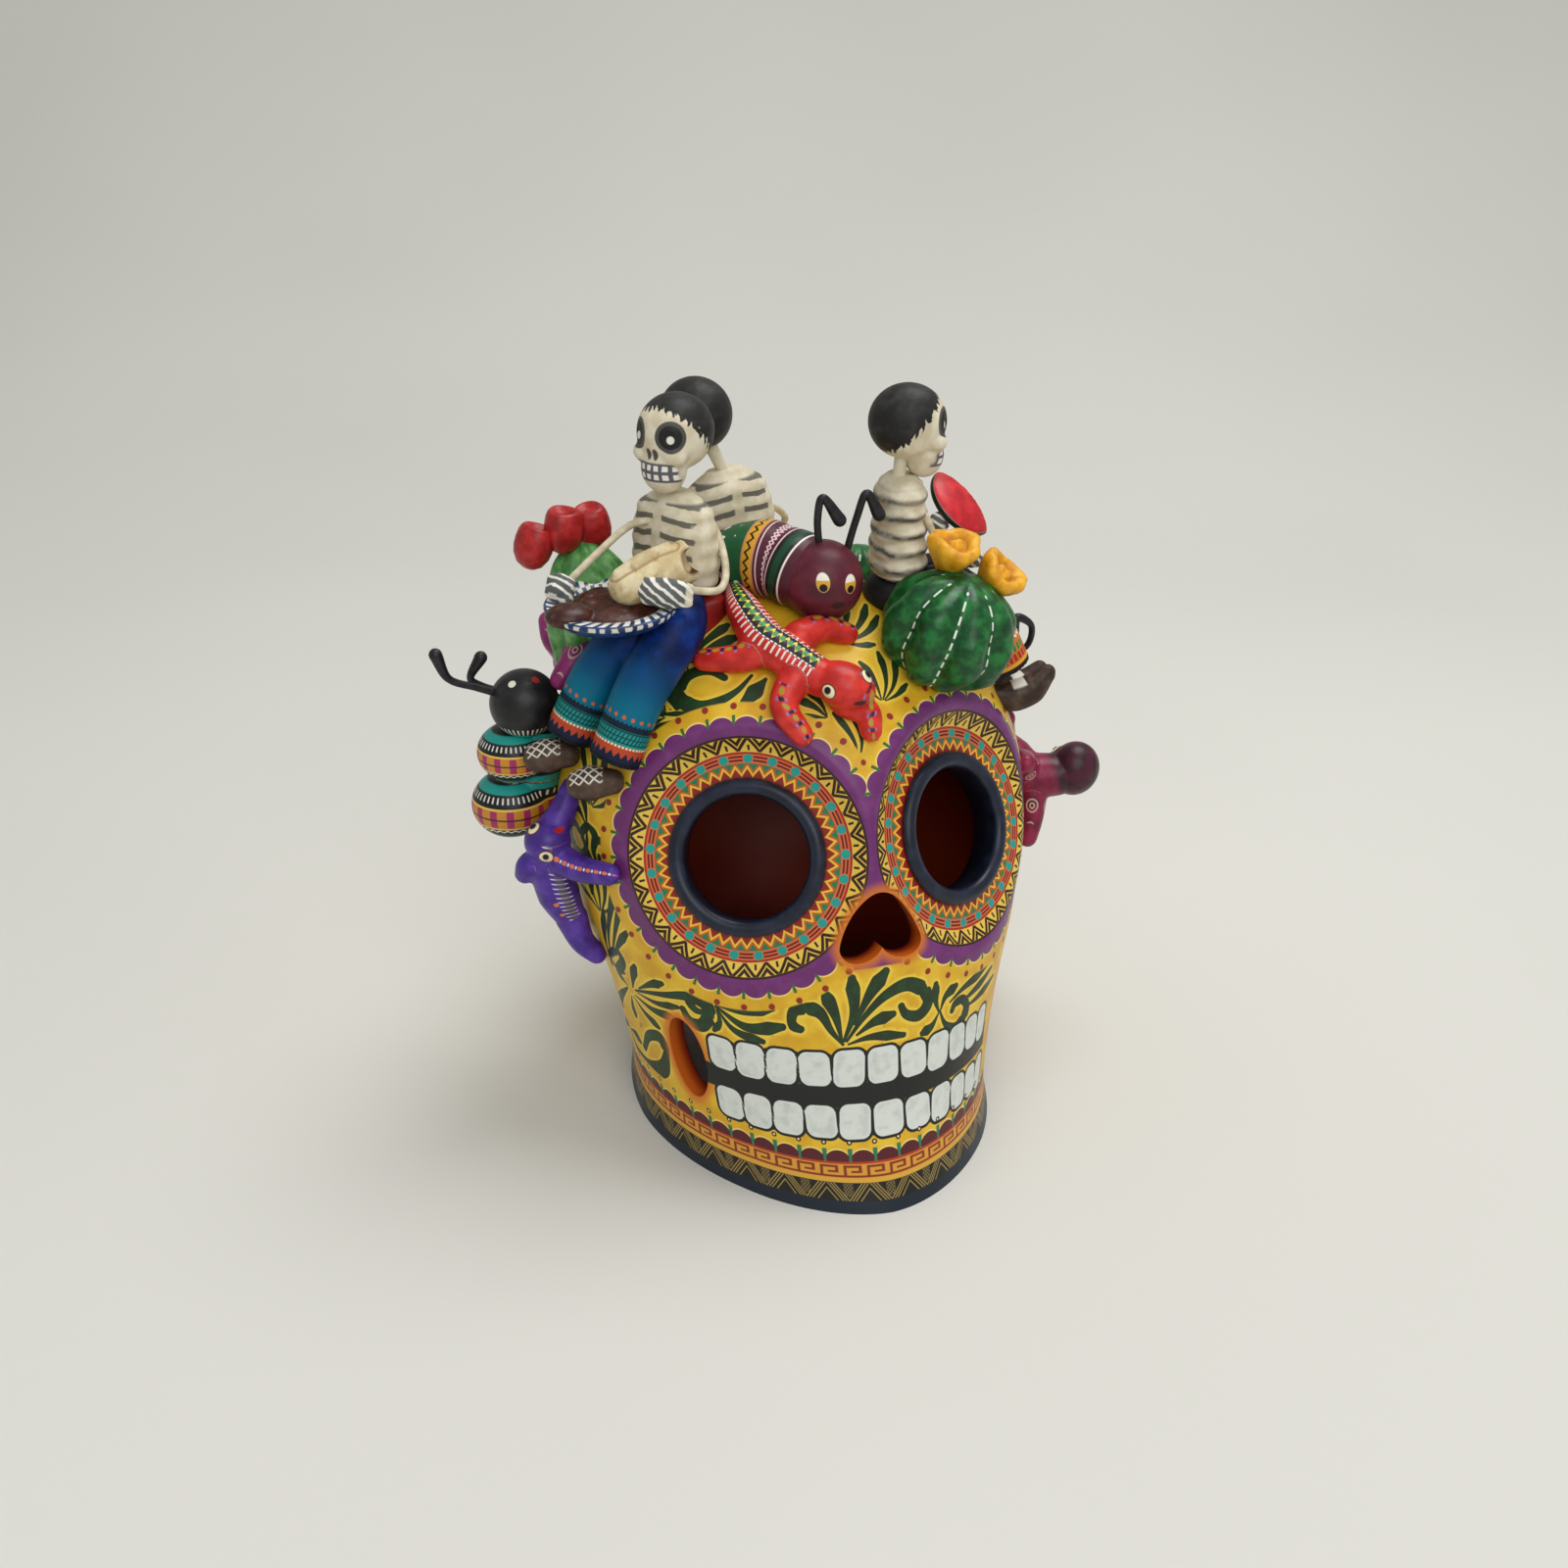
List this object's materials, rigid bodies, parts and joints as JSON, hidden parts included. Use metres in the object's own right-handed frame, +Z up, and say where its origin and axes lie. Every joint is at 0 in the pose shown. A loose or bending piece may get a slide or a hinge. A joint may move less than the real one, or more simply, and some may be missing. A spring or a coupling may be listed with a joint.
{
  "type": "painted clay skull with figures",
  "caption": "Hollow painted clay skull with open eyes, nose and cheeks, carrying seated skeletons, lizards, bugs and cacti, for a seasonal altar or shelf.",
  "frame": {"origin": "middle of the overall box, at table level", "axes": "+Z up, -Y out of the skull's face, +X to the right of a viewer who faces it"},
  "size_m": [0.191, 0.1598, 0.201],
  "materials": {
    "skull_clay": "painted and varnished",
    "rim_navy": "painted and varnished",
    "bone": "painted, satin",
    "arm_wire": "painted, satin",
    "trousers_blue": "painted and varnished",
    "trousers_black": "painted and varnished",
    "trousers_red": "painted and varnished",
    "shoe_brown": "painted, satin",
    "stool_red": "painted and varnished",
    "plate_blue": "painted and varnished",
    "taco_cream": "painted, satin",
    "mole_brown": "painted and varnished",
    "melon_red": "painted and varnished",
    "bug_maroon": "painted and varnished",
    "bug_black": "painted and varnished",
    "antenna_black": "painted, satin",
    "lizard_red": "painted and varnished",
    "lizard_purple": "painted and varnished",
    "lizard_crimson": "painted and varnished",
    "lizard_magenta": "painted and varnished",
    "cactus_green": "painted and varnished",
    "cactus_light_green": "painted and varnished",
    "flower_yellow": "painted, satin",
    "fruit_red": "painted and varnished"
  },
  "bodies": {
    "root": {"skull_shell": "skull_clay", "eye_rim_right": "rim_navy", "eye_rim_left": "rim_navy", "left_skeleton_neck": "bone", "left_skeleton_head": "bone", "left_skeleton_torso": "bone", "left_skeleton_left_hand": "bone", "left_skeleton_right_hand": "bone", "right_skeleton_neck": "bone", "right_skeleton_head": "bone", "right_skeleton_torso": "bone", "right_skeleton_right_hand": "bone", "right_skeleton_left_hand": "bone", "back_skeleton_neck": "bone", "back_skeleton_head": "bone", "back_skeleton_torso": "bone", "left_skeleton_right_arm": "arm_wire", "left_skeleton_left_arm": "arm_wire", "right_skeleton_right_arm": "arm_wire", "right_skeleton_left_arm": "arm_wire", "back_skeleton_right_arm": "arm_wire", "back_skeleton_left_arm": "arm_wire", "left_skeleton_trousers": "trousers_blue", "right_skeleton_trousers": "trousers_black", "back_skeleton_trousers": "trousers_red", "left_skeleton_left_shoe": "shoe_brown", "left_skeleton_right_shoe": "shoe_brown", "right_skeleton_left_shoe": "shoe_brown", "right_skeleton_right_shoe": "shoe_brown", "back_skeleton_left_shoe": "shoe_brown", "back_skeleton_right_shoe": "shoe_brown", "red_stool": "stool_red", "plate": "plate_blue", "rolled_taco": "taco_cream", "mole_sauce": "mole_brown", "watermelon_slice": "melon_red", "top_bug_head": "bug_maroon", "top_bug_body": "bug_maroon", "right_bug_head": "bug_maroon", "right_bug_body": "bug_maroon", "left_bug_head": "bug_black", "left_bug_body": "bug_black", "top_bug_right_antenna": "antenna_black", "top_bug_left_antenna": "antenna_black", "left_bug_front_antenna": "antenna_black", "left_bug_back_antenna": "antenna_black", "right_bug_front_antenna": "antenna_black", "right_bug_back_antenna": "antenna_black", "red_lizard": "lizard_red", "purple_lizard": "lizard_purple", "crimson_lizard": "lizard_crimson", "magenta_lizard": "lizard_magenta", "front_cactus": "cactus_green", "back_cactus": "cactus_green", "left_cactus": "cactus_light_green", "upper_yellow_flower": "flower_yellow", "lower_yellow_flower": "flower_yellow", "front_red_fruit": "fruit_red", "middle_red_fruit": "fruit_red", "back_red_fruit": "fruit_red"}
  },
  "joints": []
}
